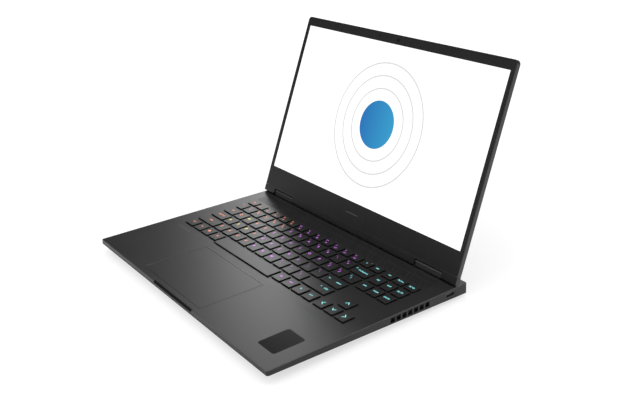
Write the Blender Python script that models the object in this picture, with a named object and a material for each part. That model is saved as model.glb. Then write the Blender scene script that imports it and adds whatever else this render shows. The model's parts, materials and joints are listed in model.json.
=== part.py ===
"""A laptop computer with a 16 inch class screen, open for use.

Metres, +Z up, +X to the user's right, the user on the -Y side. The origin is the middle of the rear
foot's underside. Pieces of the base are placed from its front edge and from the table, under the empty
base_frame. Pieces of the lid lie in the lid's own frame, under lid_frame: x along the hinge axis, y from
the axis to the free edge, z out of the side that faces the user.
"""

import math

import bmesh
import bpy

mm = 0.001

# Base
width = 369 * mm
depth = 259.4 * mm
deck_height = 15.5 * mm  # table to the top of the deck
corner_radius = 2.5 * mm
deck_edge_round = 0.5 * mm
deck_skin = 1.2 * mm
side_wall = 1.6 * mm
front_wall = 5 * mm
front_wall_height = 5 * mm  # the visible side wall is a wedge, taller at the rear
rear_wall_height = 11.4 * mm
bottom_height = 1.5 * mm  # table to the flat of the bottom cover
bottom_wall = 1.2 * mm
rim_clearance = 0.5 * mm  # the hollow reaches past the rim by this
bottom_inset_front = 16 * mm
bottom_inset_side = 12 * mm
bottom_inset_rear = 6 * mm
gap = 0.3 * mm  # between pieces that touch
overshoot = 1 * mm  # how far a cutter reaches past the face it cuts

# Feet
foot_width = 9 * mm
foot_length = 290 * mm
foot_pocket = 0.6 * mm
front_foot_place = 26 * mm  # from the front edge
rear_foot_place = depth - 34.4 * mm

# Lid
lid_opening = 110.7  # degrees from closed, at rest
hinge_place = depth - 13.6 * mm  # axis from the front edge
hinge_height = 5.6 * mm  # axis above the deck
lid_face = 3.5 * mm  # axis to the face that looks at the user
lid_thickness = 5.7 * mm
lid_skin = 1.0 * mm
lid_rim = 1.2 * mm
lid_corner = 5 * mm
lid_overhang = 4.7 * mm  # past the axis
lid_edge_round = 0.4 * mm
strip_front_round = 1.2 * mm  # keeps the strip's lower edge clear of the deck as the lid turns
strip_back_round = 2 * mm
hinge_strip_top = 4.1 * mm
screen_width = 356.4 * mm
screen_height = 200.5 * mm
screen_bottom = 31.6 * mm  # from the axis
top_bezel = 12.1 * mm
bezel_thickness = 0.9 * mm
panel_thickness = 2.2 * mm
panel_border = 2.4 * mm
panel_foot = 6 * mm
camera_radius = 1.6 * mm
camera_board_width = 72 * mm
camera_board_height = 6 * mm

# Hinges
knuckle_inner = 119.8 * mm
knuckle_outer = 161.2 * mm
knuckle_thickness = 4.6 * mm
knuckle_rise = 1.6 * mm  # above the axis
knuckle_clearance = 1 * mm
knuckle_edge_round = 0.35 * mm
knuckle_foot_inset = 5 * mm
knuckle_foot_step = 0.8 * mm  # the foot is narrower than the knuckle by this on each face
knuckle_seat_depth = 2 * mm
pin_radius = 0.8 * mm
pin_length = 34 * mm  # inside the knuckle
arm_width = 10 * mm
arm_length = 60 * mm
arm_thickness = 0.6 * mm
arm_head = 1.4 * mm
arm_clearance = 2 * mm  # beside the cut-out for the knuckle
bracket_thickness = 1.3 * mm
bracket_reach = 17 * mm
bracket_margin = 1 * mm

# Keyboard
keys_left = -162.6 * mm
keys_width = 271 * mm
keys_front = depth - 156.8 * mm
key_pitch = 18.75 * mm
row_pitch = 18.88 * mm
function_row_depth = 15 * mm
function_key_count = 15
key_web = 2 * mm
key_gap = 0.42 * mm
key_rise = 1.5 * mm
key_travel = 1.5 * mm
key_taper = 0.3 * mm
key_strip = 0.6 * mm
key_strip_width = 6 * mm
number_row_first = 15.8 * mm
upper_row_first = 25 * mm
home_row_first = 29.5 * mm
lower_row_first = 39.4 * mm
control_row_first = 20.6 * mm
space_bar_width = 120 * mm
space_bar_reach = 3 * mm
navigation_gap = 2.9 * mm
navigation_pitch = 17.9 * mm
keyboard_plate_thickness = 0.8 * mm
keyboard_plate_margin = 2 * mm

# Touchpad
touchpad_left = -81 * mm
touchpad_width = 126.3 * mm
touchpad_front = 8.6 * mm
touchpad_depth = 79.5 * mm
touchpad_thickness = 1.4 * mm
touchpad_travel = 0.55 * mm
touchpad_bracket_thickness = 0.8 * mm
touchpad_bracket_side = 5 * mm
touchpad_bracket_rear = 4 * mm
touchpad_bracket_front = 1 * mm
touchpad_bracket_bar = 12 * mm
touchpad_hole_depth = 2 * mm
touchpad_corner = 1.2 * mm

# Finger notch and speaker grille on the deck
notch_left = -42 * mm
notch_width = 85 * mm
notch_depth = 2.2 * mm
grille_front = depth - 43.4 * mm
grille_depth = 21 * mm
grille_width = 330 * mm
grille_recess = 0.5 * mm

# Side and rear air vents
vent_count = 7
vent_first = depth - 110.6 * mm
vent_pitch = 8 * mm
vent_width = 6 * mm
vent_top = 2.1 * mm  # below the deck
vent_height = 5.8 * mm
rear_vent_count = 16
rear_vent_pitch = 3.8 * mm
rear_vent_width = 2.4 * mm
rear_vent_height = 4.8 * mm
rear_vent_middle = 118 * mm
intake_count = 11
intake_pitch = 5 * mm
intake_width = 2.4 * mm
intake_length = 44 * mm

# Fans and cooling
fan_place = (120 * mm, depth - 74.4 * mm)
fan_side = 64 * mm
fan_clearance = 0.4 * mm  # under the keyboard plate
fan_wall = 0.8 * mm
rotor_radius = 25.5 * mm
rotor_hub = 10 * mm
rotor_clearance = 1.5 * mm
outlet_step = 0.2 * mm  # the outlet is narrower than the round chamber by this on each side
rotor_gap = 0.5 * mm  # above and below the rotor
blade_count = 17
blade_sweep = 22  # degrees
shaft_radius = 1 * mm
shaft_length = 3 * mm
intake_radius = 18 * mm
fin_count = 18
fin_pitch = 3.3 * mm
fin_thickness = 0.8 * mm
fin_place = depth - 33.4 * mm
fin_depth = 22 * mm
fin_height = 4.2 * mm
pipe_height = 2.2 * mm

# Inner pieces, from the front edge
inner_floor = 3.2 * mm
board_thickness = 1.2 * mm
board_height = 8.4 * mm
board_width = 166 * mm
board_place = (depth - 147.4 * mm, depth - 37.4 * mm)
battery_size = (226 * mm, 74 * mm, 6.4 * mm)
battery_place = 61 * mm
speaker_size = (24 * mm, 46 * mm, 5.6 * mm)
speaker_place = (152 * mm, 50 * mm)
ssd_size = (80 * mm, 22 * mm, 2.2 * mm)
memory_size = (69.6 * mm, 30 * mm, 3.5 * mm)
wireless_size = (30 * mm, 22 * mm, 2.2 * mm)
spreader_size = (92 * mm, 46 * mm, 2.6 * mm)
spreader_shift = 3 * mm  # in front of the board's middle
pipe_stem = (-3 * mm, 25 * mm)  # across
pipe_bar_front = 2 * mm  # behind the fins' front
pipe_bar_rear = 4 * mm  # in front of the fins' rear
board_margin = 2 * mm
wireless_gap = 20 * mm
part_clearance = 0.3 * mm

# Sockets: middle from the front edge, width along the side, height, middle below the deck
socket_length = 13 * mm
socket_wall = 0.7 * mm
tongue_inset = 2.5 * mm  # behind the side wall
tongue_share = (0.6, 0.25)  # of the socket's width and height
usb_place, usb_width, usb_height, usb_drop = depth - 25.6 * mm, 13.9 * mm, 6 * mm, 5.4 * mm
usb_left_place = depth - 75.4 * mm
network_place, network_width, network_height, network_drop = depth - 41.4 * mm, 15 * mm, 8.6 * mm, 5.8 * mm
display_place, display_width, display_height, display_drop = depth - 58.9 * mm, 15.4 * mm, 5.6 * mm, 5.4 * mm
usb_c_place, usb_c_width, usb_c_height = depth - 93.4 * mm, 9.6 * mm, 4.2 * mm
power_place, power_radius, power_bore, power_drop = depth - 22.4 * mm, 4 * mm, 2.9 * mm, 5.8 * mm
audio_place, audio_radius, audio_bore = depth - 107.4 * mm, 2.9 * mm, 1.8 * mm
port_board_size = (12 * mm, 96 * mm)
port_board_drop = 7.1 * mm

round_steps = 6
circle_steps = 32


def clear_scene():
    for obj in list(bpy.data.objects):
        bpy.data.objects.remove(obj, do_unlink=True)


def make_material(name, colour, roughness, metallic=0.0):
    material = bpy.data.materials.new(name)
    material.use_nodes = True
    shader = material.node_tree.nodes["Principled BSDF"]
    shader.inputs["Base Color"].default_value = (*colour, 1.0)
    shader.inputs["Roughness"].default_value = roughness
    shader.inputs["Metallic"].default_value = metallic
    return material


def make_object(name, mesh, parent, colour=(0.1, 0.1, 0.1), roughness=0.5, metallic=0.0):
    """An object that carries its own material."""
    obj = bpy.data.objects.new(name, mesh)
    obj.parent = parent
    mesh.materials.append(make_material(name, colour, roughness, metallic))
    bpy.context.scene.collection.objects.link(obj)
    return obj


def make_mesh(name, build):
    """A mesh that build(bm) fills, with its faces turned outwards."""
    bm = bmesh.new()
    build(bm)
    bmesh.ops.recalc_face_normals(bm, faces=bm.faces)
    mesh = bpy.data.meshes.new(name)
    bm.to_mesh(mesh)
    bm.free()
    return mesh


def add_prism(bm, outline, sweep):
    """Adds a solid: a flat outline of points, swept along a vector."""
    face = bm.faces.new([bm.verts.new(point) for point in outline])
    swept = bmesh.ops.extrude_face_region(bm, geom=[face])
    moved = [item for item in swept["geom"] if isinstance(item, bmesh.types.BMVert)]
    bmesh.ops.translate(bm, verts=moved, vec=sweep)


def box_outline(low, high):
    return [
        (low[0], low[1], low[2]),
        (high[0], low[1], low[2]),
        (high[0], high[1], low[2]),
        (low[0], high[1], low[2]),
    ]


def add_box(bm, low, high):
    add_prism(bm, box_outline(low, high), (0, 0, high[2] - low[2]))


def boxes_mesh(name, boxes):
    def build(bm):
        for low, high in boxes:
            add_box(bm, low, high)

    return make_mesh(name, build)


def prism_mesh(name, outline, sweep):
    return make_mesh(name, lambda bm: add_prism(bm, outline, sweep))


def rounded_rectangle(left, right, front, rear, radius, height=0.0):
    """Points around a rectangle with round corners, anticlockwise from the front right."""
    points = []
    corners = (
        (right - radius, front + radius, -90),
        (right - radius, rear - radius, 0),
        (left + radius, rear - radius, 90),
        (left + radius, front + radius, 180),
    )
    for x, y, start in corners:
        for step in range(round_steps + 1):
            angle = math.radians(start + 90 * step / round_steps)
            points.append((x + radius * math.cos(angle), y + radius * math.sin(angle), height))
    return points


def circle_along_x(middle, radius, steps=circle_steps):
    x, y, z = middle
    turns = [2 * math.pi * step / steps for step in range(steps)]
    return [(x, y + radius * math.cos(turn), z + radius * math.sin(turn)) for turn in turns]


def circle_along_z(middle, radius, steps=circle_steps):
    x, y, z = middle
    turns = [2 * math.pi * step / steps for step in range(steps)]
    return [(x + radius * math.cos(turn), y + radius * math.sin(turn), z) for turn in turns]


def loft_mesh(name, lower, upper):
    """A solid between two outlines that have the same number of points."""

    def build(bm):
        low = [bm.verts.new(point) for point in lower]
        high = [bm.verts.new(point) for point in upper]
        bm.faces.new(low)
        bm.faces.new(high)
        for index in range(len(low)):
            after = (index + 1) % len(low)
            bm.faces.new((low[index], low[after], high[after], high[index]))

    return make_mesh(name, build)


def helper(name, mesh, parent):
    """A cutter or an addition: it shapes another object and isn't a piece itself."""
    obj = bpy.data.objects.new(name, mesh)
    obj.parent = parent
    obj.hide_render = True
    obj.display_type = "WIRE"
    bpy.context.scene.collection.objects.link(obj)
    return obj


def combine(obj, operation, mesh):
    """Cuts the mesh out of the object, or adds it."""
    other = helper(f"{obj.name}_{mesh.name}", mesh, obj.parent)
    modifier = obj.modifiers.new(mesh.name, "BOOLEAN")
    modifier.operation = operation
    modifier.solver = "EXACT"
    modifier.object = other


def cut(obj, mesh):
    combine(obj, "DIFFERENCE", mesh)


def add(obj, mesh):
    combine(obj, "UNION", mesh)


def round_edges(obj, size, segments=2, angle=40):
    bevel = obj.modifiers.new("round_edges", "BEVEL")
    bevel.width = size
    bevel.segments = segments
    bevel.limit_method = "ANGLE"
    bevel.angle_limit = math.radians(angle)


def box_piece(name, low, high, parent, colour, roughness=0.5, metallic=0.0):
    return make_object(name, boxes_mesh(name, [(low, high)]), parent, colour, roughness, metallic)


def mirrored(side, near, far):
    """Lowest and highest x of a span that lies from near to far on one side, +1 or -1."""
    return tuple(sorted((side * near, side * far)))


def side_name(name, side):
    return f"{name}_{'right' if side > 0 else 'left'}"


def wall_drop(place):
    """Height of the visible side wall at a distance from the front edge."""
    return front_wall_height + (rear_wall_height - front_wall_height) * place / depth


def tilted(points, below):
    """The outline's points moved onto the sloping line where the side wall ends."""
    return [(x, y, deck_height - wall_drop(y) - below) for x, y, z in points]


# Keyboard layout: each group is the keys that share one moving solid, as (left, right, front, rear) cells


def row_cells(row, widths, left=keys_left):
    front = keys_front + row * row_pitch
    rear = front + (function_row_depth if row == 5 else row_pitch)
    cells = []
    for wide in widths:
        cells.append((left, left + wide, front, rear))
        left += wide
    return cells


def full_row(row, first, count):
    """A row of pitch-wide keys between a first key and a last key that fills what is left."""
    last = keys_width - first - count * key_pitch
    return row_cells(row, [first] + [key_pitch] * count + [last])


def key_groups():
    functions = row_cells(5, [keys_width / function_key_count] * function_key_count)
    numbers = full_row(4, number_row_first, 12)
    upper = full_row(3, upper_row_first, 12)
    home = full_row(2, home_row_first, 11)
    lower = full_row(1, lower_row_first, 10)
    after_space = keys_width - control_row_first - 6 * key_pitch - space_bar_width
    widths = [control_row_first] + [key_pitch] * 3 + [space_bar_width] + [key_pitch] * 3 + [after_space]
    control = row_cells(0, widths)
    left, right, front, rear = control[4]
    space = (left, right, front - space_bar_reach, rear)
    pad_left = keys_left + keys_width + navigation_gap
    pad = [row_cells(row, [navigation_pitch] * 3, pad_left) for row in range(6)]
    return {
        "function_keys": functions[:13],
        "power_key": functions[13:14],
        "delete_key": functions[14:],
        "number_keys": numbers[:-1],
        "backspace_key": numbers[-1:],
        "upper_letter_keys": upper,
        "home_letter_keys": home[:-1],
        "enter_key": home[-1:],
        "left_shift_key": lower[:1],
        "lower_letter_keys": lower[1:-1],
        "right_shift_key": lower[-1:],
        "left_control_keys": control[:4],
        "space_bar": [space],
        "right_control_keys": control[5:],
        "navigation_keys": pad[5] + pad[4] + pad[3],
        "up_arrow_key": [pad[1][1]],
        "left_arrow_key": [pad[0][0]],
        "down_arrow_key": [pad[0][1]],
        "right_arrow_key": [pad[0][2]],
    }


def shrink(cell, amount):
    left, right, front, rear = cell
    return left + amount, right - amount, front + amount, rear - amount


def middle(cell):
    left, right, front, rear = cell
    return (left + right) / 2, (front + rear) / 2


def keyboard_box():
    cells = [cell for group in key_groups().values() for cell in group]
    return (
        min(cell[0] for cell in cells) - keyboard_plate_margin,
        max(cell[1] for cell in cells) + keyboard_plate_margin,
        min(cell[2] for cell in cells) - keyboard_plate_margin,
        max(cell[3] for cell in cells) + keyboard_plate_margin,
    )


key_strip_top = deck_height - deck_skin - gap
key_bottom = key_strip_top - key_strip
keyboard_plate_top = key_bottom - key_travel - gap


def make_keys(base):
    for name, cells in key_groups().items():

        def build(bm, cells=cells):
            for cell in cells:
                foot = shrink(cell, key_web / 2 + key_gap)
                top = shrink(foot, key_taper)
                add_cap(bm, foot, top)

        keys = make_object(name, make_mesh(name, build), base, (0.035, 0.035, 0.037), 0.45)
        if len(cells) > 1:
            across = [middle(cell)[0] for cell in cells]
            along = [middle(cell)[1] for cell in cells]
            low = (min(across), min(along) - key_strip_width / 2, key_bottom)
            high = (max(across), max(along) + key_strip_width / 2, key_strip_top)
            add(keys, boxes_mesh("strip", [(low, high)]))


def add_cap(bm, foot, top):
    """A keycap: straight inside the deck, then slightly narrower at the top."""
    low, level, high = key_bottom - 0.1 * mm, deck_height, deck_height + key_rise
    rings = []
    for (left, right, front, rear), height in ((foot, low), (foot, level), (top, high)):
        corners = ((left, front), (right, front), (right, rear), (left, rear))
        rings.append([bm.verts.new((x, y, height)) for x, y in corners])
    bm.faces.new(rings[0])
    bm.faces.new(rings[2])
    for lower, upper in zip(rings, rings[1:]):
        for index in range(4):
            after = (index + 1) % 4
            bm.faces.new((lower[index], lower[after], upper[after], upper[index]))


def sockets():
    """Each socket as name, side, middle, width, height, drop below the deck, and bore or None."""
    return [
        ("usb_socket_right", 1, usb_place, usb_width, usb_height, usb_drop, None),
        ("usb_socket_left", -1, usb_left_place, usb_width, usb_height, usb_drop, None),
        ("network_socket", -1, network_place, network_width, network_height, network_drop, None),
        ("display_socket", -1, display_place, display_width, display_height, display_drop, None),
        ("usb_c_socket", -1, usb_c_place, usb_c_width, usb_c_height, usb_drop, None),
        ("power_socket", -1, power_place, power_radius * 2, power_radius * 2, power_drop, power_bore),
        ("audio_socket", -1, audio_place, audio_radius * 2, audio_radius * 2, usb_drop, audio_bore),
    ]


def make_sockets(base):
    for name, side, place, wide, high, drop, bore in sockets():
        level = deck_height - drop
        outer = side * (width / 2 - gap)
        inner = side * (width / 2 - gap - socket_length)
        mouth = side * (width / 2 + gap)
        floor = side * (width / 2 - gap - socket_length + socket_wall)
        if bore is None:
            low = (min(outer, inner), place - wide / 2, level - high / 2)
            top = (max(outer, inner), place + wide / 2, level + high / 2)
            socket = box_piece(name, low, top, base, (0.45, 0.45, 0.46), 0.35, 1.0)
            span = sorted((mouth, floor))
            hollow_low = (span[0], low[1] + socket_wall, low[2] + socket_wall)
            hollow_high = (span[1], top[1] - socket_wall, top[2] - socket_wall)
            cut(socket, boxes_mesh("hollow", [(hollow_low, hollow_high)]))
            if name != "network_socket":
                tongue = tongue_box(side, place, wide, high, level)
                add(socket, boxes_mesh("tongue", [tongue]))
        else:
            outline = circle_along_x((outer, place, level), wide / 2, 20)
            mesh = prism_mesh(name, outline, (inner - outer, 0, 0))
            socket = make_object(name, mesh, base, (0.03, 0.03, 0.03), 0.4)
            hole = circle_along_x((mouth, place, level), bore, 16)
            cut(socket, prism_mesh("bore", hole, (floor - mouth, 0, 0)))


def tongue_box(side, place, wide, high, level):
    """The contact tongue inside a socket, joined to its back wall."""
    back = width / 2 - gap - socket_length + socket_wall / 2
    x = sorted((side * (width / 2 - tongue_inset), side * back))
    half_wide, half_thick = wide * tongue_share[0] / 2, high * tongue_share[1] / 2
    low = (x[0], place - half_wide, level - half_thick)
    return low, (x[1], place + half_wide, level + half_thick)


def socket_cutters():
    boxes = []
    for _, side, place, wide, high, drop, _ in sockets():
        x = mirrored(side, width / 2 - side_wall - 2 * overshoot, width / 2 + overshoot)
        level = deck_height - drop
        low = (x[0], place - wide / 2 - gap, level - high / 2 - gap)
        boxes.append((low, (x[1], place + wide / 2 + gap, level + high / 2 + gap)))
    return boxes


def side_vent_boxes():
    boxes = []
    for index in range(vent_count):
        front = vent_first + index * vent_pitch
        top = deck_height - vent_top
        low = (width / 2 - side_wall - overshoot, front, top - vent_height)
        boxes.append((low, (width / 2 + overshoot, front + vent_width, top)))
    return boxes


def rear_vent_boxes():
    boxes = []
    middle_height = inner_floor + fin_height / 2 + 1.4 * mm
    for side in (-1, 1):
        for index in range(rear_vent_count):
            x = side * rear_vent_middle + (index - (rear_vent_count - 1) / 2) * rear_vent_pitch
            low = (x - rear_vent_width / 2, depth - side_wall - overshoot, middle_height)
            high = (x + rear_vent_width / 2, depth + overshoot, middle_height + rear_vent_height)
            boxes.append((low, high))
    return boxes


def make_deck(base):
    outline = rounded_rectangle(-width / 2, width / 2, 0, depth, corner_radius)
    top = [(x, y, deck_height) for x, y, z in outline]
    deck = make_object(
        "deck_shell", loft_mesh("deck_shell", tilted(outline, 0), top), base, (0.055, 0.055, 0.06), 0.4, 0.6
    )
    round_edges(deck, deck_edge_round)
    inner_half = width / 2 - side_wall
    inner = rounded_rectangle(-inner_half, inner_half, front_wall, depth - side_wall, corner_radius - side_wall)
    roof = [(x, y, deck_height - deck_skin) for x, y, z in inner]
    floor = [(x, y, 0) for x, y, z in inner]
    cut(deck, loft_mesh("inside", floor, roof))

    holes = []
    for cells in key_groups().values():
        for cell in cells:
            left, right, front, rear = shrink(cell, key_web / 2)
            holes.append(
                ((left, front, deck_height - deck_skin - gap), (right, rear, deck_height + gap))
            )
    pad_right = touchpad_left + touchpad_width
    pad_rear = touchpad_front + touchpad_depth
    pad_low = (touchpad_left, touchpad_front, deck_height - touchpad_hole_depth)
    holes.append((pad_low, (pad_right, pad_rear, deck_height + gap)))
    for side in (-1, 1):
        x = mirrored(side, knuckle_inner + knuckle_foot_inset - gap, knuckle_outer - knuckle_foot_inset + gap)
        half = knuckle_foot_half() + gap
        low = (x[0], hinge_place - half, deck_height - knuckle_seat_depth)
        holes.append((low, (x[1], hinge_place + half, deck_height + gap)))
    cut(deck, boxes_mesh("holes", holes))

    recess_low = (-grille_width / 2, grille_front, deck_height - grille_recess)
    recess_high = (grille_width / 2, grille_front + grille_depth, deck_height + overshoot)
    cut(deck, boxes_mesh("grille_recess", [(recess_low, recess_high)]))
    notch = [
        (notch_left, -overshoot, deck_height - notch_depth - overshoot),
        (notch_left, notch_depth + overshoot, deck_height + overshoot),
        (notch_left, -overshoot, deck_height + overshoot),
    ]
    cut(deck, prism_mesh("notch", notch, (notch_width, 0, 0)))
    cut(deck, boxes_mesh("vents_and_sockets", side_vent_boxes() + rear_vent_boxes() + socket_cutters()))


def knuckle_foot_half():
    return knuckle_thickness / 2 - knuckle_foot_step


def make_bottom(base):
    outline = rounded_rectangle(-width / 2, width / 2, 0, depth, corner_radius)
    floor = rounded_rectangle(
        -width / 2 + bottom_inset_side,
        width / 2 - bottom_inset_side,
        bottom_inset_front,
        depth - bottom_inset_rear,
        corner_radius,
        bottom_height,
    )
    mesh = loft_mesh("bottom_cover", floor, tilted(outline, gap))
    cover = make_object("bottom_cover", mesh, base, (0.03, 0.03, 0.032), 0.6)
    inner_half, inner_radius = width / 2 - bottom_wall, corner_radius - bottom_wall
    inner_top = rounded_rectangle(-inner_half, inner_half, bottom_wall, depth - bottom_wall, inner_radius)
    inner_floor_outline = rounded_rectangle(
        -width / 2 + bottom_inset_side + bottom_wall,
        width / 2 - bottom_inset_side - bottom_wall,
        bottom_inset_front + bottom_wall,
        depth - bottom_inset_rear - bottom_wall,
        inner_radius,
        bottom_height + bottom_wall,
    )
    cut(cover, loft_mesh("inside", inner_floor_outline, tilted(inner_top, -rim_clearance)))
    pockets = []
    for place in (front_foot_place, rear_foot_place):
        low, high = foot_box(place)
        pockets.append(((low[0] - gap, low[1] - gap, 0), (high[0] + gap, high[1] + gap, high[2] + gap)))
    cut(cover, boxes_mesh("foot_pockets", pockets))
    slots = []
    for side in (-1, 1):
        for index in range(intake_count):
            x = side * fan_place[0] + (index - (intake_count - 1) / 2) * intake_pitch
            y = fan_place[1]
            low = (x - intake_width / 2, y - intake_length / 2, 0)
            high = (x + intake_width / 2, y + intake_length / 2, bottom_height + 2 * bottom_wall)
            slots.append((low, high))
    cut(cover, boxes_mesh("intakes", slots))


def foot_box(place):
    low = (-foot_length / 2, place - foot_width / 2, 0)
    return low, (foot_length / 2, place + foot_width / 2, bottom_height + foot_pocket - gap)


def make_feet(base):
    for name, place in (("front_foot", front_foot_place), ("rear_foot", rear_foot_place)):
        low, high = foot_box(place)
        box_piece(name, low, high, base, (0.02, 0.02, 0.02), 0.8)


def make_touchpad(base):
    left, front = touchpad_left + gap, touchpad_front + gap
    right = touchpad_left + touchpad_width - gap
    rear = touchpad_front + touchpad_depth - gap
    outline = rounded_rectangle(left, right, front, rear, touchpad_corner, deck_height - touchpad_thickness)
    mesh = prism_mesh("touchpad_plate", outline, (0, 0, touchpad_thickness))
    make_object("touchpad_plate", mesh, base, (0.06, 0.06, 0.065), 0.35)
    top = deck_height - touchpad_thickness - touchpad_travel - gap
    side, bar = touchpad_bracket_side, touchpad_bracket_bar
    low = (left - side, front + touchpad_bracket_front, top - touchpad_bracket_thickness)
    high = (right + side, rear + touchpad_bracket_rear, top)
    bracket = box_piece("touchpad_bracket", low, high, base, (0.4, 0.4, 0.4), 0.4, 1.0)
    window = ((left + bar, front + bar, 0), (right - bar, rear - bar, deck_height))
    cut(bracket, boxes_mesh("window", [window]))


def make_keyboard_plate(base):
    left, right, front, rear = keyboard_box()
    low = (left, front, keyboard_plate_top - keyboard_plate_thickness)
    box_piece("keyboard_plate", low, (right, rear, keyboard_plate_top), base, (0.3, 0.3, 0.3), 0.4, 1.0)


def make_fan(base, side):
    x, y = side * fan_place[0], fan_place[1]
    half = fan_side / 2
    low = (x - half, y - half, inner_floor)
    top = (x + half, y + half, keyboard_plate_top - keyboard_plate_thickness - fan_clearance)
    housing = box_piece(side_name("fan_housing", side), low, top, base, (0.04, 0.04, 0.04), 0.5)
    cavity = rotor_radius + rotor_clearance
    floor = inner_floor + fan_wall
    room = top[2] - inner_floor - 2 * fan_wall
    rotor_height = room - 2 * rotor_gap
    cut(housing, prism_mesh("chamber", circle_along_z((x, y, floor), cavity), (0, 0, room)))
    mouth = circle_along_z((x, y, inner_floor - overshoot), intake_radius)
    cut(housing, prism_mesh("intake", mouth, (0, 0, fan_wall + 2 * mm)))
    reach = cavity - outlet_step
    outlet = ((x - reach, y, floor), (x + reach, top[1] + overshoot, floor + room))
    cut(housing, boxes_mesh("outlet", [outlet]))
    shaft_top = top[2] - fan_wall / 2
    shaft = circle_along_z((x, y, shaft_top), shaft_radius, 12)
    add(housing, prism_mesh("shaft", shaft, (0, 0, -shaft_length)))

    rotor_floor = floor + rotor_gap
    mesh = prism_mesh("rotor", rotor_outline(x, y, rotor_floor), (0, 0, rotor_height))
    rotor = make_object(side_name("fan_rotor", side), mesh, base, (0.05, 0.05, 0.05), 0.45)
    socket = circle_along_z((x, y, rotor_floor + rotor_height + overshoot), shaft_radius + gap, 12)
    cut(rotor, prism_mesh("shaft_socket", socket, (0, 0, -(shaft_length + 0.5 * mm))))


def rotor_outline(x, y, height):
    """The rotor seen along its axis: a hub with thin blades that sweep back."""
    points = []
    thin = math.degrees(0.8 * mm / rotor_radius)
    thick = math.degrees(1.2 * mm / rotor_hub)
    for blade in range(blade_count):
        start = 360 * blade / blade_count
        stations = (
            (rotor_hub, start - thick / 2),
            ((rotor_hub + rotor_radius) / 2, start + blade_sweep / 2 - thin),
            (rotor_radius, start + blade_sweep - thin / 2),
            (rotor_radius, start + blade_sweep + thin / 2),
            ((rotor_hub + rotor_radius) / 2, start + blade_sweep / 2 + thin),
            (rotor_hub, start + thick / 2),
        )
        for radius, degrees in stations:
            angle = math.radians(degrees)
            points.append((x + radius * math.cos(angle), y + radius * math.sin(angle), height))
    return points


def make_fins(base, side):
    """Upright fins that hang from one plate, as a comb swept from front to rear."""
    length = (fin_count - 1) * fin_pitch + fin_thickness
    left = side * rear_vent_middle - length / 2
    plate_low = inner_floor + fin_height - fin_thickness
    plate_high = inner_floor + fin_height
    points = [(left, fin_place, plate_high)]
    for index in range(fin_count):
        x = left + index * fin_pitch
        far = x + fin_thickness
        fin = ((x, plate_low), (x, inner_floor), (far, inner_floor), (far, plate_low))
        points += [(across, fin_place, height) for across, height in (fin[1:] if index == 0 else fin)]
    points[-1] = (left + length, fin_place, plate_high)
    mesh = prism_mesh("fins", points, (0, fin_depth, 0))
    make_object(side_name("fin_stack", side), mesh, base, (0.5, 0.28, 0.18), 0.35, 1.0)


def make_cooling(base):
    for side in (-1, 1):
        make_fan(base, side)
        make_fins(base, side)
    wide, deep, high = spreader_size
    board_low = board_height - part_clearance
    y = (board_place[0] + board_place[1]) / 2 - spreader_shift
    low = (-wide / 2, y - deep / 2, board_low - high)
    high_corner = (wide / 2, y + deep / 2, board_low)
    spreader = box_piece("heat_pipes", low, high_corner, base, (0.5, 0.28, 0.18), 0.35, 1.0)
    pipe_floor = inner_floor + fin_height + part_clearance
    reach = rear_vent_middle + fin_count * fin_pitch / 2 - fin_pitch / 2
    bar_front, bar_rear = fin_place + pipe_bar_front, fin_place + fin_depth - pipe_bar_rear
    stem = ((pipe_stem[0], y, board_low - high), (pipe_stem[1], (bar_front + bar_rear) / 2, board_low))
    bar = ((-reach, bar_front, pipe_floor), (reach, bar_rear, pipe_floor + pipe_height))
    add(spreader, boxes_mesh("stem", [stem]))
    add(spreader, boxes_mesh("bar", [bar]))


def make_inside(base):
    front, rear = board_place
    low = (-board_width / 2, front, board_height)
    high = (board_width / 2, rear, board_height + board_thickness)
    box_piece("mainboard", low, high, base, (0.02, 0.08, 0.05), 0.5)
    under_board = board_height - part_clearance
    left = -board_width / 2 + board_margin
    hang = (
        ("ssd_module", ssd_size, left, front + board_margin, (0.02, 0.03, 0.05)),
        ("wireless_card", wireless_size, left + ssd_size[0] + wireless_gap, front + board_margin, (0.02, 0.08, 0.05)),
        ("memory_module", memory_size, left, rear - memory_size[1] - board_margin, (0.02, 0.09, 0.05)),
    )
    for name, (wide, deep, high), x, y, colour in hang:
        box_piece(name, (x, y, under_board - high), (x + wide, y + deep, under_board), base, colour)
    wide, deep, high = battery_size
    low = (-wide / 2, battery_place - deep / 2, inner_floor)
    top = (wide / 2, battery_place + deep / 2, inner_floor + high)
    box_piece("battery_pack", low, top, base, (0.02, 0.02, 0.02))
    for side in (-1, 1):
        wide, deep, high = speaker_size
        x = mirrored(side, speaker_place[0] - wide / 2, speaker_place[0] + wide / 2)
        y = speaker_place[1]
        low = (x[0], y - deep / 2, inner_floor)
        top = (x[1], y + deep / 2, inner_floor + high)
        box_piece(side_name("speaker", side), low, top, base, (0.03, 0.03, 0.03))
    wide, deep = port_board_size
    inner = -(width / 2 - gap - socket_length - gap)
    low = (inner, (audio_place + power_place - deep) / 2, deck_height - port_board_drop)
    top = (inner + wide, low[1] + deep, low[2] + board_thickness)
    box_piece("port_board", low, top, base, (0.02, 0.08, 0.05))


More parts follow.
